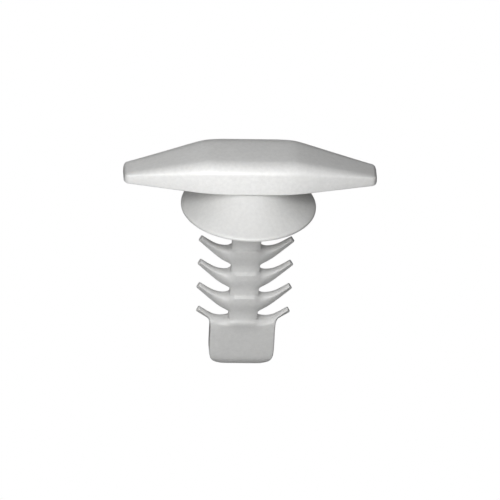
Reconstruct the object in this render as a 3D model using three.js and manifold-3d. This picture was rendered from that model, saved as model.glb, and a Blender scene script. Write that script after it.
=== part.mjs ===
// Push-in trim retainer: a boat-shaped head, an umbrella skirt that seals on the panel, and a
// fir-tree stem whose sprung barbs grip the edge of the panel hole.
// Millimetres. z = 0 is the panel face under the skirt's rim, +Z points to the head, X is its length.
import * as THREE from 'three';
import { mergeVertices } from 'three/addons/utils/BufferGeometryUtils.js';
import Module from 'manifold-3d';

const wasm = await Module();
wasm.setup();

const degrees = THREE.MathUtils.degToRad;

// The gap that separate pieces keep where the moulding is really continuous.
const seamGap = 0.04;
// The gap round each barb's rounded root, which lets it turn.
const hingeClearance = 0.06;
// How far a cutting outline runs past the shape that it trims.
const cutMargin = 1;
// Vertices closer than this are one vertex.
const weldDistance = 1e-5;
const curveSegments = 14;
const roundSegments = 80;

// Head
const headLength = 24.9;
const headWidth = 6.4;
const headHeight = 3.08;
const headEndHeight = 0.95;
const headLandLength = 8.8;
const headStraightLength = 4.8;
const headPlanRadius = 14;
const headTaper = degrees(13.2);
const headCrownWidth = 1.4;
const headCrownKnee = 0.47;
const headCrownDrop = 0.6;

// Neck and skirt
const seatHeight = 3.25;
const neckRadius = 2.5;
const neckHeight = 1.5;
const skirtRadius = 6.65;
const skirtRootWall = 0.75;
const skirtRootDrop = 0.3;
const lipWidth = 0.5;
const lipHeight = 0.36;
const lipChamferWidth = 0.1;
const lipChamferHeight = 0.14;

// Stem
const coreWidth = 2.85;
const coreDepth = 1.8;
const collarProud = 0.24;
const collarHeight = 1.45;
const collarBulge = 0.87;
const collarRise = 0.3;
const collarEdgeProud = 0.1;

// Barbs
const barbLevels = 4;
const barbPitch = 2.73;
const barbTop = -4.72;
const barbSpan = 9.74;
const barbArcStart = 1.9;
const barbArcRadius = 2.6;
const barbUpAngle = degrees(37);
const barbTipRadius = 0.31;
const barbTipDepth = 0.86;
const barbWaistDepth = 0.9;
const barbWaistReach = 0.4;
const barbRootInset = 0.71;

// Lead-in blade
const bladeWidth = 6.45;
const bladeDepth = coreDepth;
const bladeLength = 5.1;
const bladeCornerRadius = 1.4;
const bladeChamferHeight = 0.6;
const bladeChamferDepth = 0.32;
const bladeHingeInset = 0.1;
const bladeShoulderDrop = 0.3;

// The lowest level is rooted on the blade's corner, so its barbs are shorter and thinner. The bows
// turn the two ends of a barb's underside away from a straight line.
const longBarb = {
  startAngle: 0,
  rootRadius: 0.78,
  lowerTipBow: degrees(1.3),
  lowerRootBow: degrees(15.7),
};
const shortBarbRoot = 0.3;
const shortBarbReach = bladeWidth / 2 - bladeHingeInset - barbArcStart;
const shortBarb = {
  startAngle: Math.asin(shortBarbReach / (barbArcRadius + shortBarbRoot)),
  rootRadius: shortBarbRoot,
  lowerTipBow: degrees(1.8),
  lowerRootBow: degrees(2.2),
};

const headTop = seatHeight + headHeight;
const levelTop = (level) => barbTop - barbPitch * level;
const isLowest = (level) => level === barbLevels - 1;
const barbForm = (level) => (isLowest(level) ? shortBarb : longBarb);
const bladeTop = levelTop(barbLevels - 1);
const bladeBottom = bladeTop - bladeLength;

// Geometry placed from a drawing plane
function extrudeAlongY(shape, depth) {
  const geometry = new THREE.ExtrudeGeometry(shape, { depth, bevelEnabled: false, curveSegments });
  geometry.rotateX(Math.PI / 2);
  geometry.translate(0, depth / 2, 0);
  return geometry;
}

function extrudeAlongX(shape, depth) {
  const geometry = new THREE.ExtrudeGeometry(shape, { depth, bevelEnabled: false, curveSegments });
  const turn = new THREE.Matrix4().makeBasis(
    new THREE.Vector3(0, 1, 0),
    new THREE.Vector3(0, 0, 1),
    new THREE.Vector3(1, 0, 0),
  );
  geometry.applyMatrix4(turn);
  geometry.translate(-depth / 2, 0, 0);
  return geometry;
}

function extrudeAlongZ(shape, bottom, top) {
  const settings = { depth: top - bottom, bevelEnabled: false, curveSegments };
  const geometry = new THREE.ExtrudeGeometry(shape, settings);
  geometry.translate(0, 0, bottom);
  return geometry;
}

function toSolid(geometry) {
  const plain = geometry.clone();
  plain.deleteAttribute('normal');
  plain.deleteAttribute('uv');
  const merged = mergeVertices(plain, weldDistance);
  return new wasm.Manifold(new wasm.Mesh({
    numProp: 3,
    vertProperties: new Float32Array(merged.attributes.position.array),
    triVerts: new Uint32Array(merged.index.array),
  }));
}

function toGeometry(solid) {
  const mesh = solid.getMesh();
  const geometry = new THREE.BufferGeometry();
  geometry.setAttribute('position', new THREE.BufferAttribute(mesh.vertProperties, 3));
  geometry.setIndex(new THREE.BufferAttribute(mesh.triVerts, 1));
  geometry.computeVertexNormals();
  return geometry;
}

// Natural nylon. The thin, bent parts pass more light, so each has its own tone.
function nylon(color, roughness) {
  return new THREE.MeshStandardMaterial({ color, roughness, metalness: 0 });
}

const retainer = new THREE.Group();

function addPiece(name, geometry, material) {
  const mesh = new THREE.Mesh(geometry, material);
  mesh.name = name;
  retainer.add(mesh);
  return mesh;
}

// Head: a flat-bottomed boat shape, widest in the middle, with sloping shoulders.
function headSideOutline() {
  const shape = new THREE.Shape();
  shape.moveTo(-headLength / 2, seatHeight);
  shape.lineTo(headLength / 2, seatHeight);
  shape.lineTo(headLength / 2, seatHeight + headEndHeight);
  shape.lineTo(headLandLength / 2, seatHeight + headHeight);
  shape.lineTo(-headLandLength / 2, seatHeight + headHeight);
  shape.lineTo(-headLength / 2, seatHeight + headEndHeight);
  shape.closePath();
  return shape;
}

function headPlanOutline() {
  const straight = headStraightLength / 2;
  const centre = headPlanRadius - headWidth / 2;
  const bendX = straight + headPlanRadius * Math.sin(headTaper);
  const bendY = headPlanRadius * Math.cos(headTaper) - centre;
  const endHalf = bendY - (headLength / 2 - bendX) * Math.tan(headTaper);
  const quarter = Math.PI / 2;
  const shape = new THREE.Shape();
  shape.moveTo(headLength / 2, -endHalf);
  shape.lineTo(headLength / 2, endHalf);
  shape.absarc(straight, -centre, headPlanRadius, quarter - headTaper, quarter, false);
  shape.absarc(-straight, -centre, headPlanRadius, quarter, quarter + headTaper, false);
  shape.lineTo(-headLength / 2, endHalf);
  shape.lineTo(-headLength / 2, -endHalf);
  shape.absarc(-straight, centre, headPlanRadius, -quarter - headTaper, -quarter, false);
  shape.absarc(straight, centre, headPlanRadius, -quarter, -quarter + headTaper, false);
  shape.closePath();
  return shape;
}

// The head's section, drawn in Y and Z: flat in the middle and falling to both long edges.
function headCrownOutline() {
  const half = headWidth / 2;
  const flat = half - headCrownWidth;
  const bottom = seatHeight - cutMargin;
  const knee = half - headCrownKnee;
  const shape = new THREE.Shape();
  shape.moveTo(-half, bottom);
  shape.lineTo(half, bottom);
  shape.lineTo(half, headTop - headCrownDrop);
  shape.quadraticCurveTo(knee, headTop, flat, headTop);
  shape.lineTo(-flat, headTop);
  shape.quadraticCurveTo(-knee, headTop, -half, headTop - headCrownDrop);
  shape.closePath();
  return shape;
}

const headSlab = toSolid(extrudeAlongY(headSideOutline(), headWidth + cutMargin));
const headPlan = toSolid(extrudeAlongZ(headPlanOutline(), seatHeight - cutMargin, headTop + cutMargin));
const headCrown = toSolid(extrudeAlongX(headCrownOutline(), headLength + cutMargin));
const headSolid = headSlab.intersect(headPlan).intersect(headCrown);
addPiece('head', toGeometry(headSolid), nylon(0xdcdcd9, 0.42));

// Neck: the round boss between the head and the stem, which carries the skirt.
const neckBottom = seatHeight - seamGap - neckHeight;
const neckGeometry = new THREE.CylinderGeometry(neckRadius, neckRadius, neckHeight, roundSegments);
const neck = addPiece('neck', neckGeometry, nylon(0xd6d6d2, 0.45));
neck.rotation.x = Math.PI / 2;
neck.position.z = neckBottom + neckHeight / 2;

// Skirt: a thin cone that flares down from the neck, ending in a lip that seats on the panel.
function ring(points, segments) {
  const profile = points.map(([radius, z]) => new THREE.Vector2(radius, z));
  profile.push(profile[0].clone());
  const geometry = new THREE.LatheGeometry(profile, segments);
  geometry.rotateX(Math.PI / 2);
  return geometry;
}

const webInner = neckRadius + seamGap;
const webTop = seatHeight - skirtRootDrop;
const webBottom = lipHeight + seamGap;
const webProfile = [
  [webInner, webTop - skirtRootWall],
  [skirtRadius - lipWidth, webBottom],
  [skirtRadius - seamGap, webBottom],
  [webInner, webTop],
];
addPiece('skirt_web', ring(webProfile, roundSegments), nylon(0xe6e6e3, 0.4));

const lipProfile = [
  [skirtRadius - lipWidth, 0],
  [skirtRadius - lipChamferWidth, 0],
  [skirtRadius, lipChamferHeight],
  [skirtRadius, lipHeight],
  [skirtRadius - lipWidth, lipHeight],
];
addPiece('skirt_lip', ring(lipProfile, roundSegments), nylon(0xe9e9e6, 0.38));

// Barb outline on the right side, drawn in X and Z, and its hinge point.
function barbHinge(level) {
  const { startAngle, rootRadius } = barbForm(level);
  return {
    x: barbArcStart + (barbArcRadius + rootRadius) * Math.sin(startAngle),
    z: levelTop(level) + barbArcRadius - (barbArcRadius + rootRadius) * Math.cos(startAngle),
  };
}

function barbTipCentre(level) {
  const edgeX = barbArcStart + barbArcRadius * Math.sin(barbUpAngle);
  const edgeZ = levelTop(level) + barbArcRadius * (1 - Math.cos(barbUpAngle));
  const x = barbSpan / 2 - barbTipRadius;
  const run = (x - edgeX - barbTipRadius * Math.sin(barbUpAngle)) / Math.cos(barbUpAngle);
  const z = edgeZ - barbTipRadius * Math.cos(barbUpAngle) + run * Math.sin(barbUpAngle);
  return { x, z };
}

// How steeply a straight line climbs that touches a barb's root and tip from below.
function underAngle(root, rootRadius, tip) {
  const run = tip.x - root.x;
  const rise = tip.z - root.z;
  return Math.atan2(rise, run) + Math.asin((rootRadius - barbTipRadius) / Math.hypot(run, rise));
}

// Where two lines meet, each given by a point and the angle that it climbs at.
function crossing(a, angleA, b, angleB) {
  const slopeA = Math.tan(angleA);
  const slopeB = Math.tan(angleB);
  const x = (b.z - a.z + slopeA * a.x - slopeB * b.x) / (slopeA - slopeB);
  return { x, z: a.z + slopeA * (x - a.x) };
}

function barbOutline(level) {
  const { startAngle, rootRadius, lowerTipBow, lowerRootBow } = barbForm(level);
  const quarter = Math.PI / 2;
  const root = barbHinge(level);
  const tip = barbTipCentre(level);
  const straight = underAngle(root, rootRadius, tip);
  const lowerTipAngle = straight + lowerTipBow;
  const lowerRootAngle = straight - lowerRootBow;
  const lowerTip = {
    x: tip.x + barbTipRadius * Math.sin(lowerTipAngle),
    z: tip.z - barbTipRadius * Math.cos(lowerTipAngle),
  };
  const lowerRoot = {
    x: root.x + rootRadius * Math.sin(lowerRootAngle),
    z: root.z - rootRadius * Math.cos(lowerRootAngle),
  };
  const bend = crossing(lowerTip, lowerTipAngle, lowerRoot, lowerRootAngle);
  const arcCentreZ = levelTop(level) + barbArcRadius;
  const shape = new THREE.Shape();
  shape.absarc(barbArcStart, arcCentreZ, barbArcRadius, startAngle - quarter, barbUpAngle - quarter, false);
  shape.absarc(tip.x, tip.z, barbTipRadius, barbUpAngle + quarter, lowerTipAngle - quarter, true);
  shape.quadraticCurveTo(bend.x, bend.z, lowerRoot.x, lowerRoot.z);
  shape.absarc(root.x, root.z, rootRadius, lowerRootAngle - quarter, startAngle + quarter, true);
  shape.closePath();
  return shape;
}

// Barb outline from above: deep at the core, drawn in quickly to a narrow waist and tip.
function barbPlan() {
  const start = coreWidth / 2 - barbRootInset;
  const waist = barbArcStart + barbWaistReach;
  const end = barbSpan / 2 + seamGap;
  const shape = new THREE.Shape();
  shape.moveTo(start, -coreDepth / 2);
  shape.quadraticCurveTo(waist, -barbWaistDepth / 2, end, -barbTipDepth / 2);
  shape.lineTo(end, barbTipDepth / 2);
  shape.quadraticCurveTo(waist, barbWaistDepth / 2, start, coreDepth / 2);
  shape.closePath();
  return shape;
}

const barbPlanSolid = toSolid(extrudeAlongZ(barbPlan(), bladeBottom, 0));
for (let level = 0; level < barbLevels; level += 1) {
  const blank = toSolid(extrudeAlongY(barbOutline(level), coreDepth + cutMargin));
  const rightBarb = blank.intersect(barbPlanSolid);
  const leftBarb = rightBarb.mirror([1, 0, 0]);
  addPiece(`barb_right_${level + 1}`, toGeometry(rightBarb), nylon(0xcfcfcb, 0.45));
  addPiece(`barb_left_${level + 1}`, toGeometry(leftBarb), nylon(0xcfcfcb, 0.45));
}

// The round space that each barb's root turns in, cut from the stem and the blade on both sides.
function rootSocket(level) {
  const hinge = barbHinge(level);
  const radius = barbForm(level).rootRadius + hingeClearance;
  const geometry = new THREE.CylinderGeometry(radius, radius, coreDepth + 2 * cutMargin, roundSegments / 2);
  geometry.translate(hinge.x, 0, hinge.z);
  const right = toSolid(geometry);
  return right.add(right.mirror([1, 0, 0]));
}

// Stem: a flat core with a collar at each barb level, sharp on top and faired away below.
function stemSideOutline(bottom, top) {
  const face = coreDepth / 2;
  const proud = face + collarProud;
  const collars = [];
  for (let level = 0; level < barbLevels - 1; level += 1) {
    collars.push(levelTop(level) + collarRise);
  }
  const shape = new THREE.Shape();
  shape.moveTo(face, top);
  shape.lineTo(-face, top);
  for (const edge of collars) {
    shape.lineTo(-face, edge);
    shape.lineTo(-proud, edge);
    shape.quadraticCurveTo(-proud, edge - collarBulge, -face, edge - collarHeight);
  }
  shape.lineTo(-face, bottom);
  shape.lineTo(face, bottom);
  for (const edge of collars.reverse()) {
    shape.lineTo(face, edge - collarHeight);
    shape.quadraticCurveTo(proud, edge - collarBulge, proud, edge);
    shape.lineTo(face, edge);
  }
  shape.closePath();
  return shape;
}

function stemPlanOutline() {
  const side = coreWidth / 2;
  const edge = coreDepth / 2 + collarEdgeProud;
  const crown = coreDepth + 2 * collarProud - edge;
  const shape = new THREE.Shape();
  shape.moveTo(side, -edge);
  shape.lineTo(side, edge);
  shape.quadraticCurveTo(0, crown, -side, edge);
  shape.lineTo(-side, -edge);
  shape.quadraticCurveTo(0, -crown, side, -edge);
  shape.closePath();
  return shape;
}

const stemTop = neckBottom - seamGap;
const stemBottom = bladeTop + seamGap;
let stem = toSolid(extrudeAlongX(stemSideOutline(stemBottom, stemTop), coreWidth + cutMargin));
stem = stem.intersect(toSolid(extrudeAlongZ(stemPlanOutline(), stemBottom - cutMargin, stemTop + cutMargin)));
for (let level = 0; level < barbLevels - 1; level += 1) {
  stem = stem.subtract(rootSocket(level));
}
addPiece('stem', toGeometry(stem), nylon(0xd2d2ce, 0.45));

// Lead-in blade: a flat plate with round lower corners, thinned at its end to find the hole.
function bladeOutline() {
  const side = bladeWidth / 2;
  const { startAngle, rootRadius } = shortBarb;
  const hinge = barbHinge(barbLevels - 1);
  const quarter = Math.PI / 2;
  const arcCentreZ = bladeTop + barbArcRadius;
  const shoulder = hinge.z - rootRadius - hingeClearance - (side - hinge.x) - bladeShoulderDrop;
  const cornerZ = bladeBottom + bladeCornerRadius;
  const cornerX = side - bladeCornerRadius;
  const shape = new THREE.Shape();
  shape.moveTo(-barbArcStart, bladeTop);
  shape.lineTo(barbArcStart, bladeTop);
  shape.absarc(barbArcStart, arcCentreZ, barbArcRadius, -quarter, startAngle - quarter, false);
  shape.lineTo(hinge.x, hinge.z);
  shape.lineTo(hinge.x, shoulder + (side - hinge.x));
  shape.lineTo(side, shoulder);
  shape.absarc(cornerX, cornerZ, bladeCornerRadius, 0, -quarter, true);
  shape.absarc(-cornerX, cornerZ, bladeCornerRadius, -quarter, -Math.PI, true);
  shape.lineTo(-side, shoulder);
  shape.lineTo(-hinge.x, shoulder + (side - hinge.x));
  shape.lineTo(-hinge.x, hinge.z);
  shape.absarc(-barbArcStart, arcCentreZ, barbArcRadius, -quarter - startAngle, -quarter, false);
  shape.closePath();
  return shape;
}

function bladeEdgeOutline() {
  const face = bladeDepth / 2;
  const thin = face - bladeChamferDepth;
  const shape = new THREE.Shape();
  shape.moveTo(-face, bladeTop + cutMargin);
  shape.lineTo(-face, bladeBottom + bladeChamferHeight);
  shape.lineTo(-thin, bladeBottom);
  shape.lineTo(thin, bladeBottom);
  shape.lineTo(face, bladeBottom + bladeChamferHeight);
  shape.lineTo(face, bladeTop + cutMargin);
  shape.closePath();
  return shape;
}

const bladePlate = toSolid(extrudeAlongY(bladeOutline(), bladeDepth));
const bladeEdge = toSolid(extrudeAlongX(bladeEdgeOutline(), bladeWidth + cutMargin));
const blade = bladePlate.intersect(bladeEdge).subtract(rootSocket(barbLevels - 1));
addPiece('lead_in_blade', toGeometry(blade), nylon(0xd4d4d0, 0.45));

export default retainer;
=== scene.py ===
import math

import bmesh
import bpy
from mathutils import Matrix, Vector


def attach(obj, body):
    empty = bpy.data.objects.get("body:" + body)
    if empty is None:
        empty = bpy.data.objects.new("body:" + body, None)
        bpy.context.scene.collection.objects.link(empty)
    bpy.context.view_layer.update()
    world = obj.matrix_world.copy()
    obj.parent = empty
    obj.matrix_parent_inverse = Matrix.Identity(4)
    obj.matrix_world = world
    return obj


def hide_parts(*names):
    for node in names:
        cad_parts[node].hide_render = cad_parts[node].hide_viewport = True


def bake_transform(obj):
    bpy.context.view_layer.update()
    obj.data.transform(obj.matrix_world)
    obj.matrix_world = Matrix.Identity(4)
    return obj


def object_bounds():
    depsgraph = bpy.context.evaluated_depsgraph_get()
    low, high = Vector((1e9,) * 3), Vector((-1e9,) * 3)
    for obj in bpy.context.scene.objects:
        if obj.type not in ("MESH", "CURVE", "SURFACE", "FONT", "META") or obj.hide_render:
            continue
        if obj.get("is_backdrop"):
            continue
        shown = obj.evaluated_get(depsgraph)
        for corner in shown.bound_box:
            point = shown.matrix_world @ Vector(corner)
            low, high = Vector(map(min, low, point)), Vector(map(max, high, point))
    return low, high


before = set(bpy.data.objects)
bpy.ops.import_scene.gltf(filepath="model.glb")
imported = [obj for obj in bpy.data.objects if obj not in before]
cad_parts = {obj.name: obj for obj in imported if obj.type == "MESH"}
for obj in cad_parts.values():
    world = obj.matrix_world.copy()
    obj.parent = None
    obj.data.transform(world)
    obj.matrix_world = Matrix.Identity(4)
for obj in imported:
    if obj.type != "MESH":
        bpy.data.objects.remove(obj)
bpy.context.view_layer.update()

# ---------------------------------------------------------------------------------------------
# Head. The solid boat-shaped bar that slides into a trim channel, widest in the middle, with a
# crowned top that falls away to both ends. Natural nylon, moulded in one shot with the rest;
# its satin skin comes from the steel of the mould.
MM = 0.001
HEAD_LENGTH = 24.9
HEAD_WIDTH = 6.4
HEAD_STRAIGHT_HALF = 2.4
HEAD_PLAN_RADIUS = 14.0
HEAD_TAPER = math.radians(13.2)
HEAD_BOTTOM = 3.25
HEAD_TOP = 6.33
HEAD_END_HEIGHT = 0.95
HEAD_LAND_HALF = 4.4
HEAD_LAND_BLEND = 0.8
HEAD_EDGE_HEIGHT = 2.2
HEAD_FLAT_SHARE = 0.5
HEAD_CORNER = 0.5
HEAD_END_ROUND = 0.35
HEAD_END_DROP = 0.28
HEAD_UNDER_ROUND = 0.14
HEAD_GRID = (180, 44)
HEAD_CROWDING = 0.45
# Pointiness range over which a highlight is painted into the colour of sharp convex edges.
HIGHLIGHT_EDGE_FROM, HIGHLIGHT_EDGE_TO = 0.505, 0.56
MOTTLE_DEPTH = 0.22
UNEVEN_GLOSS = 0.22


def nylon_surface_group():
    """Colour, roughness and height of a moulded nylon skin: slow tone drift, fine grain and a highlight
    painted into the colour of sharp convex edges.
    """
    group = bpy.data.node_groups.new("nylon_surface", "ShaderNodeTree")
    face = group.interface
    face.new_socket(name="Tone", in_out="INPUT", socket_type="NodeSocketColor")
    face.new_socket(name="Roughness", in_out="INPUT", socket_type="NodeSocketFloat")
    face.new_socket(name="Drift", in_out="INPUT", socket_type="NodeSocketFloat")
    face.new_socket(name="Edge Highlight", in_out="INPUT", socket_type="NodeSocketFloat")
    face.new_socket(name="Colour", in_out="OUTPUT", socket_type="NodeSocketColor")
    face.new_socket(name="Roughness", in_out="OUTPUT", socket_type="NodeSocketFloat")
    face.new_socket(name="Height", in_out="OUTPUT", socket_type="NodeSocketFloat")
    nodes, link = group.nodes, group.links.new
    inlet = nodes.new("NodeGroupInput")
    outlet = nodes.new("NodeGroupOutput")
    place = nodes.new("ShaderNodeTexCoord")

    def noise(scale, detail, roughness):
        node = nodes.new("ShaderNodeTexNoise")
        node.inputs["Scale"].default_value = scale
        node.inputs["Detail"].default_value = detail
        node.inputs["Roughness"].default_value = roughness
        link(place.outputs["Object"], node.inputs["Vector"])
        return node.outputs["Fac"]

    def combined(operation, first, second):
        node = nodes.new("ShaderNodeMath")
        node.operation = operation
        for socket, value in zip(node.inputs, (first, second)):
            if isinstance(value, (int, float)):
                socket.default_value = value
            else:
                link(value, socket)
        return node.outputs[0]

    flow = combined("SUBTRACT", noise(320, 3, 0.5), 0.5)
    grain = noise(7500, 3, 0.6)
    orange_peel = noise(1600, 2, 0.5)
    # Sharp convex edges, found by pointiness, get a painted highlight in the colour and a little less
    # roughness.
    bend = nodes.new("ShaderNodeNewGeometry")
    edge = nodes.new("ShaderNodeMapRange")
    edge.inputs["From Min"].default_value = HIGHLIGHT_EDGE_FROM
    edge.inputs["From Max"].default_value = HIGHLIGHT_EDGE_TO
    link(bend.outputs["Pointiness"], edge.inputs["Value"])
    edge_highlight = combined("MULTIPLY", edge.outputs[0], inlet.outputs["Edge Highlight"])
    lift = combined("ADD", combined("MULTIPLY", flow, inlet.outputs["Drift"]), 1.0)
    mottle = noise(2600, 4, 0.65)
    lift = combined("ADD", lift, combined("MULTIPLY", combined("SUBTRACT", mottle, 0.5), MOTTLE_DEPTH))
    lift = combined("ADD", lift, edge_highlight)
    tint = nodes.new("ShaderNodeVectorMath")
    tint.operation = "SCALE"
    link(inlet.outputs["Tone"], tint.inputs[0])
    link(lift, tint.inputs["Scale"])
    uneven = combined("MULTIPLY", combined("SUBTRACT", orange_peel, 0.5), UNEVEN_GLOSS)
    rough = combined("ADD", inlet.outputs["Roughness"], uneven)
    rough = combined("SUBTRACT", rough, combined("MULTIPLY", edge.outputs[0], 0.08))
    height = combined("ADD", combined("MULTIPLY", grain, 0.35), combined("MULTIPLY", orange_peel, 0.65))
    link(tint.outputs[0], outlet.inputs["Colour"])
    link(rough, outlet.inputs["Roughness"])
    link(height, outlet.inputs["Height"])
    return group


NYLON_SURFACE = nylon_surface_group()


def nylon(name, tone, roughness, drift, edge, glow):
    """Milky, unfilled nylon. A little light passes through its thin edges, and edge paints a highlight into
    the colour of its sharp convex edges.
    """
    material = bpy.data.materials.new(name)
    material.use_nodes = True
    nodes, link = material.node_tree.nodes, material.node_tree.links.new
    shader = nodes["Principled BSDF"]
    skin = nodes.new("ShaderNodeGroup")
    skin.node_tree = NYLON_SURFACE
    skin.inputs["Tone"].default_value = (*tone, 1)
    skin.inputs["Roughness"].default_value = roughness
    skin.inputs["Drift"].default_value = drift
    skin.inputs["Edge Highlight"].default_value = edge
    bump = nodes.new("ShaderNodeBump")
    bump.inputs["Strength"].default_value = 0.35
    bump.inputs["Distance"].default_value = 0.012 * MM
    link(skin.outputs["Colour"], shader.inputs["Base Color"])
    link(skin.outputs["Roughness"], shader.inputs["Roughness"])
    link(skin.outputs["Height"], bump.inputs["Height"])
    link(bump.outputs["Normal"], shader.inputs["Normal"])
    shader.inputs["IOR"].default_value = 1.53
    shader.inputs["Subsurface Weight"].default_value = glow
    shader.inputs["Subsurface Radius"].default_value = (1.0, 0.95, 0.85)
    shader.inputs["Subsurface Scale"].default_value = 0.5 * MM
    return material


def finished(name, mesh_edit, material):
    """Brings a piece from millimetres to metres, puts it in the scene and frees its edit."""
    bmesh.ops.scale(mesh_edit, vec=(MM, MM, MM), verts=mesh_edit.verts)
    for face in mesh_edit.faces:
        face.smooth = True
    mesh = bpy.data.meshes.new(name)
    mesh_edit.to_mesh(mesh)
    mesh_edit.free()
    mesh.materials.append(material)
    piece = bpy.data.objects.new(name, mesh)
    bpy.context.scene.collection.objects.link(piece)
    return piece


def head_half_width(x):
    """Half of the head's width at x: an arc in the middle, straight tapers and rounded end corners."""
    x = abs(x)
    curved = max(x - HEAD_STRAIGHT_HALF, 0)
    centre = HEAD_PLAN_RADIUS - HEAD_WIDTH / 2
    bend = HEAD_PLAN_RADIUS * math.sin(HEAD_TAPER)
    if curved < bend:
        half = math.sqrt(HEAD_PLAN_RADIUS**2 - curved**2) - centre
    else:
        half = HEAD_PLAN_RADIUS * math.cos(HEAD_TAPER) - centre - (curved - bend) * math.tan(HEAD_TAPER)
    past = x - (HEAD_LENGTH / 2 - HEAD_CORNER)
    if past > 0:
        half -= HEAD_CORNER - math.sqrt(max(HEAD_CORNER**2 - past * past, 0))
    return half


def head_ridge(x):
    """Height of the head's middle line at x: a level land, then straight falls with a soft bend between."""
    slope = (HEAD_TOP - HEAD_BOTTOM - HEAD_END_HEIGHT) / (HEAD_LENGTH / 2 - HEAD_LAND_HALF)
    past = abs(x) - HEAD_LAND_HALF
    soft = (past + math.sqrt(past * past + HEAD_LAND_BLEND**2 / 4)) / 2
    return HEAD_TOP - slope * soft


def head_drop(across, x):
    """How far the crowned top has fallen: across is 0 on the middle line and 1 on the edge."""
    corner = HEAD_LENGTH / 2 - HEAD_CORNER
    broad, narrow = head_half_width(0), head_half_width(corner)
    share = (head_half_width(min(abs(x), corner)) - narrow) / (broad - narrow)
    edge_height = HEAD_END_HEIGHT + (HEAD_EDGE_HEIGHT - HEAD_END_HEIGHT) * share
    fall = head_ridge(x) - HEAD_BOTTOM - edge_height
    side = max(abs(across) - HEAD_FLAT_SHARE, 0) / (1 - HEAD_FLAT_SHARE)
    end = max(abs(x) - (HEAD_LENGTH / 2 - HEAD_END_ROUND), 0) / HEAD_END_ROUND
    end_fall = HEAD_END_DROP * (1 - math.sqrt(max(1 - end * end, 0)))
    return fall * (1 - math.sqrt(max(1 - side * side, 0))) + end_fall


head_edit = bmesh.new()
bmesh.ops.create_grid(head_edit, x_segments=HEAD_GRID[0], y_segments=HEAD_GRID[1], size=1)
for vert in head_edit.verts:
    along = HEAD_CROWDING * math.sin(vert.co.x * math.pi / 2) + (1 - HEAD_CROWDING) * vert.co.x
    across = math.sin(vert.co.y * math.pi / 2)
    x = along * HEAD_LENGTH / 2
    vert.co = (x, across * head_half_width(x), head_ridge(x) - head_drop(across, x))
rim = [edge for edge in head_edit.edges if edge.is_boundary]
skirting = bmesh.ops.extrude_edge_only(head_edit, edges=rim)["geom"]
for vert in [item for item in skirting if isinstance(item, bmesh.types.BMVert)]:
    vert.co.z = HEAD_BOTTOM
under = [item for item in skirting if isinstance(item, bmesh.types.BMEdge) and item.is_boundary]
bmesh.ops.contextual_create(head_edit, geom=under)
under = [edge for edge in head_edit.edges if all(abs(v.co.z - HEAD_BOTTOM) < 1e-6 for v in edge.verts)]
bmesh.ops.bevel(
    head_edit, geom=under, offset=HEAD_UNDER_ROUND, segments=3, profile=0.5, affect="EDGES", material=-1,
)
bmesh.ops.recalc_face_normals(head_edit, faces=head_edit.faces)
# The head's copy of the nylon is lighter than the neck's, skirt's, stem's and barbs': painted light on the
# head.
lit_head_nylon = nylon("nylon_head_lit", (0.81, 0.81, 0.80), 0.42, 0.05, 0.0, 0.1)
head = finished("head_moulding", head_edit, lit_head_nylon)
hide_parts("head")
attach(head, "body")

# ---------------------------------------------------------------------------------------------
# Neck. The short round boss that joins head and stem and carries the skirt, moulded in one with
# them. It flares into the head and is rounded at its foot. A narrow bore inside it is hidden.
NECK_RADIUS = 2.5
NECK_BOTTOM = 1.71
NECK_FILLET = 0.35
NECK_FOOT_ROUND = 0.5
NECK_BORE = 0.4
NECK_CLEARANCE = 0.005
NECK_STEPS = 96
ARC_STEPS = 6
TURN_STEPS = 160


def spun(profile, steps):
    """Turns a closed outline of (radius, z) points about the Z axis."""
    edit = bmesh.new()
    ring = [edit.verts.new((radius, 0, z)) for radius, z in profile]
    for here, there in zip(ring, ring[1:] + ring[:1]):
        edit.edges.new((here, there))
    bmesh.ops.spin(
        edit, geom=edit.verts[:] + edit.edges[:], cent=(0, 0, 0), axis=(0, 0, 1),
        angle=2 * math.pi, steps=steps, use_merge=True,
    )
    bmesh.ops.remove_doubles(edit, verts=edit.verts, dist=1e-4)
    bmesh.ops.recalc_face_normals(edit, faces=edit.faces)
    return edit


def arc(centre, radius, start, end, steps):
    """Points on an arc in the (radius, z) plane; angles in degrees."""
    points = []
    for step in range(steps + 1):
        angle = math.radians(start + (end - start) * step / steps)
        points.append((centre[0] + radius * math.cos(angle), centre[1] + radius * math.sin(angle)))
    return points


neck_top = HEAD_BOTTOM - NECK_CLEARANCE
neck_profile = [(NECK_BORE, neck_top), (NECK_RADIUS + NECK_FILLET, neck_top)]
neck_profile += arc((NECK_RADIUS + NECK_FILLET, HEAD_BOTTOM - NECK_FILLET), NECK_FILLET, 90, 180, ARC_STEPS)
foot_centre = (NECK_RADIUS - NECK_FOOT_ROUND, NECK_BOTTOM + NECK_FOOT_ROUND)
neck_profile += arc(foot_centre, NECK_FOOT_ROUND, 0, -90, ARC_STEPS)
neck_profile += [(NECK_BORE, NECK_BOTTOM)]
neck_nylon = nylon("nylon_neck", (0.72, 0.72, 0.71), 0.45, 0.05, 0.0, 0.1)
neck = finished("neck_boss", spun(neck_profile, NECK_STEPS), neck_nylon)
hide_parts("neck")
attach(neck, "body")

# ---------------------------------------------------------------------------------------------
# Skirt. The thin umbrella of nylon that flares down from the neck and ends in a soft lip, moulded
# in one with the neck. Pressed on the panel it flattens and covers the hole.
SKIRT_RADIUS = 6.65
SKIRT_TOP = 2.95
SKIRT_ROOT_WALL = 0.75
SKIRT_RISE = 0.1
SKIRT_TUCK = 0.02
SKIRT_BULGE = -0.2
LIP_HEIGHT = 0.36
LIP_WIDTH = 0.5
LIP_ROUND = 0.1
LIP_STEPS = 4
SKIRT_STEPS = 14


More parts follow.
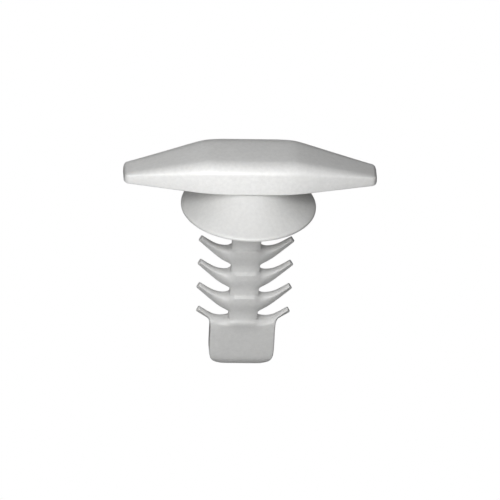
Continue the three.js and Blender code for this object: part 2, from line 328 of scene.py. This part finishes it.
def skirt_side(start, end, bulge):
    """A gently bowed line between two (radius, z) points."""
    points = []
    for step in range(SKIRT_STEPS + 1):
        share = step / SKIRT_STEPS
        lift = bulge * 4 * share * (1 - share)
        radius = start[0] + (end[0] - start[0]) * share
        points.append((radius, start[1] + (end[1] - start[1]) * share + lift))
    return points


skirt_root = NECK_RADIUS - SKIRT_TUCK
outer_top = (skirt_root, SKIRT_TOP + SKIRT_RISE)
outer_end = (SKIRT_RADIUS - 0.04, LIP_HEIGHT - 0.06)
inner_end = (SKIRT_RADIUS - LIP_WIDTH, LIP_HEIGHT - 0.05)
inner_top = (skirt_root, SKIRT_TOP - SKIRT_ROOT_WALL)
skirt_profile = skirt_side(outer_top, outer_end, SKIRT_BULGE)
skirt_profile += arc((SKIRT_RADIUS - LIP_ROUND, 2 * LIP_ROUND), LIP_ROUND, 35, 0, LIP_STEPS)
skirt_profile += arc((SKIRT_RADIUS - LIP_ROUND, LIP_ROUND), LIP_ROUND, 0, -90, LIP_STEPS)
skirt_profile += arc((SKIRT_RADIUS - LIP_WIDTH + LIP_ROUND, LIP_ROUND), LIP_ROUND, -90, -180, LIP_STEPS)
skirt_profile += skirt_side(inner_end, inner_top, SKIRT_BULGE)
# The skirt's edge value paints a faint highlight into the colour of its lip and sharp edges.
skirt_nylon = nylon("nylon_skirt", (0.69, 0.69, 0.68), 0.4, 0.05, 0.02, 0.15)
skirt = finished("skirt_umbrella", spun(skirt_profile, TURN_STEPS), skirt_nylon)
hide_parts("skirt_web", "skirt_lip")
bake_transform(skirt)

# ---------------------------------------------------------------------------------------------
# Stem, barbs and blade. One flat fir-tree moulding: a core with a swept collar at each level, a
# pair of hull-shaped barbs that grow out of each collar, and the blade that finds the hole. Each
# barb is its own piece from just outside the core.
CORE_HALF = 1.425
CORE_INNER = 0.98
CORE_DEEP = 0.9
CORE_SIDE_DEEP = 0.58
CORE_TOP = 1.95
COLLAR_PROUD = 0.25
LEVEL_TOPS = [-4.72, -7.45, -10.18, -12.91]
ROWS_ABOVE = 3
ROWS_A_LEVEL = 6
BLADE_HALF = 3.225
BLADE_BOTTOM = -18.01
SMOOTH_LEVELS = 3
COLUMN_FALL = (0, 0.33, 1)
COLUMN_THINNING = (0, 0.2, 1)

# A barb's front has four rows: its upper edge, the foot of the narrow band under it, a middle row
# and its lower edge. The band has a fixed height, held to a share of the barb where that is less;
# the middle row is a share of the way down.
BAND_HEIGHT = 0.15
BAND_SHARE = 0.27
MIDDLE_SHARE = 0.48

# How firmly edges are kept while the moulding is smoothed: 0 is soft and 1 is sharp.
CREASE_EDGE = 0.42
CREASE_BLADE_END = 0.75
CREASE_COLLAR = 0.5
CREASE_ROOT = 0.8
CREASE_ANGLE = math.radians(35)

# Each ring of a long barb, from root to tip: upper (x, z), lower (x, z), then the half depths of
# its four rows. z is measured from the top of the barb's level.
LONG_BARB = [
    ((1.74, -0.02), (1.80, -1.72), (0.24, 0.72, 0.88, 0.42)),
    ((2.20, 0.02), (2.42, -1.44), (0.18, 0.62, 0.60, 0.20)),
    ((2.85, 0.18), (3.12, -0.85), (0.15, 0.55, 0.42, 0.13)),
    ((3.465, 0.523), (3.76, -0.23), (0.17, 0.52, 0.35, 0.12)),
    ((4.00, 0.926), (4.34, 0.32), (0.14, 0.47, 0.32, 0.11)),
    ((4.30, 1.155), (4.67, 0.64), (0.13, 0.43, 0.30, 0.11)),
    ((4.37, 1.205), (4.76, 0.74), (0.12, 0.38, 0.27, 0.11)),
]
SHORT_BARB = [
    ((3.20, 0.36), (3.40, -0.08), (0.18, 0.48, 0.54, 0.36)),
    ((3.465, 0.523), (3.70, 0.05), (0.15, 0.47, 0.42, 0.18)),
    ((3.90, 0.85), (4.12, 0.30), (0.13, 0.44, 0.34, 0.13)),
    ((4.27, 1.13), (4.53, 0.58), (0.12, 0.40, 0.30, 0.12)),
    ((4.36, 1.20), (4.68, 0.70), (0.11, 0.33, 0.26, 0.11)),
]


def core_rows():
    """The core's rows: z at the middle and at the side, then the half depth at each of them."""
    rows = [(z, z, CORE_DEEP, CORE_SIDE_DEEP) for z in (CORE_TOP, 0.4, -2.6)]
    proud = CORE_DEEP + COLLAR_PROUD
    for top in LEVEL_TOPS[:3]:
        rows += [
            (top + 0.42, top + 0.36, CORE_DEEP, CORE_SIDE_DEEP),
            (top + 0.28, top + 0.06, CORE_DEEP + 0.03, CORE_SIDE_DEEP - 0.06),
            (top + 0.13, top - 0.12, proud, CORE_DEEP),
            (top - 0.55, top - 0.72, proud + 0.01, CORE_DEEP + 0.08),
            (top - 1.42, top - 1.88, CORE_DEEP + 0.05, CORE_SIDE_DEEP + 0.04),
            (top - 1.88, top - 2.14, CORE_DEEP, CORE_SIDE_DEEP),
        ]
    top = LEVEL_TOPS[3]
    rows += [
        (top + 0.36, top + 0.36, CORE_DEEP, CORE_SIDE_DEEP),
        (top + 0.14, top + 0.02, CORE_DEEP + 0.05, CORE_SIDE_DEEP - 0.04),
        (top - 0.10, top - 0.14, CORE_DEEP + 0.17, CORE_DEEP - 0.06),
        (top - 0.42, top - 0.46, CORE_DEEP + 0.15, CORE_DEEP + 0.08),
        (top - 1.05, top - 0.98, CORE_DEEP, CORE_DEEP),
    ]
    rows += [(z, z, CORE_DEEP, CORE_DEEP) for z in (-15.4, -16.6, -17.4)]
    rows.append((BLADE_BOTTOM, BLADE_BOTTOM, CORE_DEEP - 0.32, CORE_DEEP - 0.32))
    return rows


# The right half's front as a flat sheet: the core is a grid of three columns, the rest is extruded.
sheet = bmesh.new()
depth_of = sheet.verts.layers.float.new("half_depth")
row_of = sheet.verts.layers.int.new("row")
part_of = sheet.faces.layers.int.new("part")
rows = core_rows()
bmesh.ops.create_grid(sheet, x_segments=2, y_segments=len(rows) - 1, size=1)
side_run = {}
for vert in sheet.verts:
    column = round(vert.co.x + 1)
    row = round((1 - vert.co.y) * (len(rows) - 1) / 2)
    z_middle, z_side, deep_middle, deep_side = rows[row]
    across = (0, CORE_INNER, CORE_HALF)[column]
    vert.co = (across, 0, z_middle + (z_side - z_middle) * COLUMN_FALL[column])
    vert[depth_of] = deep_middle + (deep_side - deep_middle) * COLUMN_THINNING[column]
    if column == 2:
        side_run[row] = vert


def run_edges(verts):
    """The edges between neighbours of a run of vertices."""
    return [edge for edge in sheet.edges if edge.verts[0] in verts and edge.verts[1] in verts]


def grown(run, places, part=0):
    """Extrudes a run of vertices outwards to the given (x, z, half depth), listed from the top down."""
    made = bmesh.ops.extrude_edge_only(sheet, edges=run_edges(set(run)))["geom"]
    for face in [item for item in made if isinstance(item, bmesh.types.BMFace)]:
        face[part_of] = part
    fresh = [item for item in made if isinstance(item, bmesh.types.BMVert)]
    fresh.sort(key=lambda vert: -vert.co.z)
    for vert, (x, z, depth) in zip(fresh, places):
        vert.co = (x, 0, z)
        vert[depth_of] = depth
    return fresh


def grow_barb(root, rings, top, part):
    """Extrudes a barb from its four root vertices through its rings. Its first ring stays with the stem."""
    for index, (upper, lower, depths) in enumerate(rings):
        places = []
        band = min(BAND_SHARE, BAND_HEIGHT / (upper[1] - lower[1]))
        for share, depth in zip((0, band, MIDDLE_SHARE, 1), depths):
            x = upper[0] + (lower[0] - upper[0]) * share
            z = top + upper[1] + (lower[1] - upper[1]) * share
            places.append((x, z, depth))
        root = grown(root, places, part if index else 0)
        for row, vert in enumerate(root):
            vert[row_of] = row + 1


for level in range(3):
    first = ROWS_ABOVE + ROWS_A_LEVEL * level + 1
    grow_barb([side_run[row] for row in range(first, first + 4)], LONG_BARB, LEVEL_TOPS[level], level + 1)

# The blade widens from the core in two steps: a web, then its long edge, which turns into the
# lowest barb at the top and round the corner at the bottom.
WEB_HALF = 2.3
WEB = [(0.0, 0.20), (-0.16, 0.58), (-0.46, 0.87), (-1.00, 0.90)]
WEB_FOOT = (2.15, BLADE_BOTTOM + 0.01)
EDGE_THINNING = 0.02
BLADE_CORNER = [(3.10, -17.33), (2.74, -17.80)]
SHOULDER = [(3.02, 0.25, 0.18), (3.08, 0.13, 0.44), (3.15, -0.06, 0.70), (BLADE_HALF, -0.44, 0.88)]
blade_run = [side_run[row] for row in range(ROWS_ABOVE + ROWS_A_LEVEL * 3 + 1, len(rows))]
top = LEVEL_TOPS[3]
below = [(vert.co.z, vert[depth_of]) for vert in blade_run[len(WEB):]]
web_places = [(WEB_HALF, top + z, depth) for z, depth in WEB]
web_places += [(WEB_HALF, z, depth) for z, depth in below[:-1]]
web_places.append((*WEB_FOOT, below[-1][1]))
edge_places = [(x, top + z, depth) for x, z, depth in SHOULDER]
edge_places += [(BLADE_HALF, z, depth - EDGE_THINNING) for z, depth in below[:-2]]
corner_depths = (below[-2][1] - EDGE_THINNING, below[-1][1])
edge_places += [(*place, depth) for place, depth in zip(BLADE_CORNER, corner_depths)]
web_run = grown(blade_run, web_places)
edge_run = grown(web_run, edge_places)
grow_barb(edge_run[:4], SHORT_BARB, top, 4)

geometry = sheet.verts[:] + sheet.edges[:] + sheet.faces[:]
bmesh.ops.mirror(sheet, geom=geometry, matrix=Matrix.Identity(4), merge_dist=1e-4, axis="X")
for face in sheet.faces:
    if face[part_of] and face.calc_center_median().x < 0:
        face[part_of] += 4
bmesh.ops.recalc_face_normals(sheet, faces=sheet.faces)

# The flat sheet gets its thickness, and a middle loop round its edge that keeps the edge full.
front = sheet.faces[:]
made = bmesh.ops.extrude_face_region(sheet, geom=front)["geom"]
back_verts = {item for item in made if isinstance(item, bmesh.types.BMVert)}
for vert in sheet.verts:
    vert.co.y = vert[depth_of] if vert in back_verts else -vert[depth_of]
everything = sheet.verts[:] + sheet.edges[:] + sheet.faces[:]
bmesh.ops.bisect_plane(sheet, geom=everything, dist=1e-5, plane_co=(0, 0, 0), plane_no=(0, 1, 0))
bmesh.ops.recalc_face_normals(sheet, faces=sheet.faces)

# Crisp where the mould halves and their inserts meet, soft on the undersides of the barbs.
crease_of = sheet.edges.layers.float.new("crease_edge")
for edge in sheet.edges:
    if len(edge.link_faces) != 2:
        continue
    start, end = edge.verts
    low, high = sorted((start.co.z, end.co.z))
    reach = max(abs(start.co.x), abs(end.co.x))
    inner = min(abs(start.co.x), abs(end.co.x))
    on_face = abs(start.co.y) > 0.05 and start.co.y * end.co.y > 0
    through = abs(start.co.x - end.co.x) < 1e-4 and abs(start.co.z - end.co.z) < 1e-4
    if on_face and start[row_of] == end[row_of] == 0 and edge.calc_face_angle(0) > CREASE_ANGLE:
        edge[crease_of] = CREASE_BLADE_END if high < BLADE_BOTTOM + 0.1 else CREASE_EDGE
    for top in LEVEL_TOPS[:3]:
        if top + 0.04 < low and high < top + 0.33 and reach < 1 and abs(start.co.y) > 0.8:
            edge[crease_of] = CREASE_COLLAR
        elif top - 1.7 < low and high < top + 0.05 and inner > 1.4:
            edge[crease_of] = 0.0
    for top in LEVEL_TOPS:
        if through and abs(reach - CORE_HALF) < 0.01 and top < low < top + 0.1:
            edge[crease_of] = CREASE_ROOT

cage_mesh = bpy.data.meshes.new("fir_tree_cage")
sheet.to_mesh(cage_mesh)
sheet.free()
cage = bpy.data.objects.new("fir_tree_cage", cage_mesh)
bpy.context.scene.collection.objects.link(cage)
smoothing = cage.modifiers.new("smooth", "SUBSURF")
smoothing.levels = smoothing.render_levels = SMOOTH_LEVELS
smooth_mesh = bpy.data.meshes.new_from_object(cage.evaluated_get(bpy.context.evaluated_depsgraph_get()))
bpy.data.objects.remove(cage)


def cut_out(part):
    """The faces of one part of the moulding, closed with a flat cap where it joins its neighbours."""
    edit = bmesh.new()
    edit.from_mesh(smooth_mesh)
    label = edit.faces.layers.int["part"]
    others = [face for face in edit.faces if face[label] != part]
    bmesh.ops.delete(edit, geom=others, context="FACES")
    rim = [edge for edge in edit.edges if edge.is_boundary]
    caps = bmesh.ops.holes_fill(edit, edges=rim, sides=0)["faces"]
    bmesh.ops.triangulate(edit, faces=caps)
    return edit, rim


def moulded(name, part, material):
    edit, rim = cut_out(part)
    bmesh.ops.recalc_face_normals(edit, faces=edit.faces)
    for edge in rim:
        edge.smooth = False
    return finished(name, edit, material)


# Where a barb's bend would start and end, as (x, z from its level's top); the loop below works out
# these points for each barb, but nothing bends it. The lowest pair grows from the blade's corners,
# so its bend starts farther out and runs along the barb.
BEND_START, BEND_END = (1.80, -0.8), (2.65, -0.8)
LOW_BEND_START, LOW_BEND_END = (3.30, 0.14), (4.40, 0.64)

stem_nylon = nylon("nylon_stem", (0.70, 0.70, 0.69), 0.45, 0.05, 0.0, 0.1)
stem = moulded("stem_and_blade", 0, stem_nylon)
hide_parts("stem", "lead_in_blade")
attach(stem, "body")

barb_nylon = nylon("nylon_barbs", (0.70, 0.70, 0.69), 0.45, 0.05, 0.0, 0.1)
for level in range(1, 5):
    for side, sign, shift in (("right", 1, 0), ("left", -1, 4)):
        body = f"barb_{side}_{level}"
        barb = moulded(f"{body}_moulding", level + shift, barb_nylon)
        top = LEVEL_TOPS[level - 1]
        first, last = (BEND_START, BEND_END) if level < 4 else (LOW_BEND_START, LOW_BEND_END)
        start, end = ((sign * x, 0, top + z) for x, z in (first, last))
        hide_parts(body)
        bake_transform(barb)

# ---------------------------------------------------------------------------------------------
# Studio. The floor and surround look white to the lens and are dim to all other rays, so they light
# the object little. A close soft light stands above the front and weaker ones in front and behind;
# a very long lens looks down from above, a little to the left.
FLOOR_HALF = 1.5
FLOOR_GAP = 0.02
PAPER_TONE = 0.12
SURROUND_LIGHT = 0.15
floor_mesh = bpy.data.meshes.new("floor")
floor_edit = bmesh.new()
bmesh.ops.create_grid(floor_edit, x_segments=1, y_segments=1, size=FLOOR_HALF)
bmesh.ops.translate(floor_edit, vec=(0, 0, (BLADE_BOTTOM - FLOOR_GAP) * MM), verts=floor_edit.verts)
floor_edit.to_mesh(floor_mesh)
floor_edit.free()
floor = bpy.data.objects.new("floor", floor_mesh)
bpy.context.scene.collection.objects.link(floor)
floor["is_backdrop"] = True

paper = bpy.data.materials.new("white_paper")
paper.use_nodes = True
nodes, link = paper.node_tree.nodes, paper.node_tree.links.new
glow = nodes.new("ShaderNodeEmission")
glow.inputs["Color"].default_value = (1, 1, 1, 1)
glow.inputs["Strength"].default_value = 1.0
ray = nodes.new("ShaderNodeLightPath")
both = nodes.new("ShaderNodeMixShader")
nodes["Principled BSDF"].inputs["Base Color"].default_value = (PAPER_TONE, PAPER_TONE, PAPER_TONE, 1)
link(ray.outputs["Is Camera Ray"], both.inputs[0])
link(nodes["Principled BSDF"].outputs[0], both.inputs[1])
link(glow.outputs[0], both.inputs[2])
link(both.outputs[0], nodes["Material Output"].inputs["Surface"])
floor_mesh.materials.append(paper)

world = bpy.data.worlds.new("white_surround")
world.use_nodes = True
bpy.context.scene.world = world
nodes, link = world.node_tree.nodes, world.node_tree.links.new
fill = nodes["Background"]
fill.inputs["Color"].default_value = (1, 1, 1, 1)
fill.inputs["Strength"].default_value = SURROUND_LIGHT
seen = nodes.new("ShaderNodeBackground")
seen.inputs["Color"].default_value = (1, 1, 1, 1)
ray = nodes.new("ShaderNodeLightPath")
both = nodes.new("ShaderNodeMixShader")
link(ray.outputs["Is Camera Ray"], both.inputs[0])
link(fill.outputs[0], both.inputs[1])
link(seen.outputs[0], both.inputs[2])
link(both.outputs[0], nodes["World Output"].inputs["Surface"])


def soft_light(name, toward, distance, size, power):
    """A square soft light that looks at the middle of the object from the given direction."""
    lamp = bpy.data.lights.new(name, "AREA")
    lamp.shape = "SQUARE"
    lamp.size = size
    lamp.energy = power
    light = bpy.data.objects.new(name, lamp)
    direction = Vector(toward).normalized()
    light.location = Vector((0, 0, -0.006)) + direction * distance
    light.rotation_mode = "QUATERNION"
    light.rotation_quaternion = direction.to_track_quat("Z", "Y")
    bpy.context.scene.collection.objects.link(light)


soft_light("key_front", (-0.2, -0.8, 0.58), 0.06, 0.044, 0.033)
soft_light("fill_front", (-0.1, -1.0, 0.1), 0.35, 0.2, 0.11)
soft_light("fill_back", (0.0, 1.0, -0.03), 0.12, 0.06, 0.012)

# The lens looks down on the object; across, up and back are its own directions.
LENS_TURN, LENS_RAISE, LENS_ROLL = math.radians(-4.525), math.radians(32.25), math.radians(3.0)
LENS_DISTANCE = 1366.0
LENS_LENGTH = 1000
AIM_ACROSS, AIM_UP = 0.159, -4.313
level_across = Vector((math.cos(LENS_TURN), math.sin(LENS_TURN), 0))
back = Vector((
    math.sin(LENS_TURN) * math.cos(LENS_RAISE),
    -math.cos(LENS_TURN) * math.cos(LENS_RAISE),
    math.sin(LENS_RAISE),
))
level_up = back.cross(level_across)
across = level_across * math.cos(LENS_ROLL) + level_up * math.sin(LENS_ROLL)
up = level_up * math.cos(LENS_ROLL) - level_across * math.sin(LENS_ROLL)
lens = bpy.data.cameras.new("camera")
lens.lens = LENS_LENGTH
lens.sensor_width = 36
lens.clip_start, lens.clip_end = 0.01, 10
camera = bpy.data.objects.new("camera", lens)
place = (across * AIM_ACROSS + up * AIM_UP + back * LENS_DISTANCE) * MM
camera.matrix_world = Matrix.Translation(place) @ Matrix((across, up, back)).transposed().to_4x4()
bpy.context.scene.collection.objects.link(camera)
bpy.context.scene.camera = camera
bpy.context.scene.view_settings.view_transform = "Standard"

low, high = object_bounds()
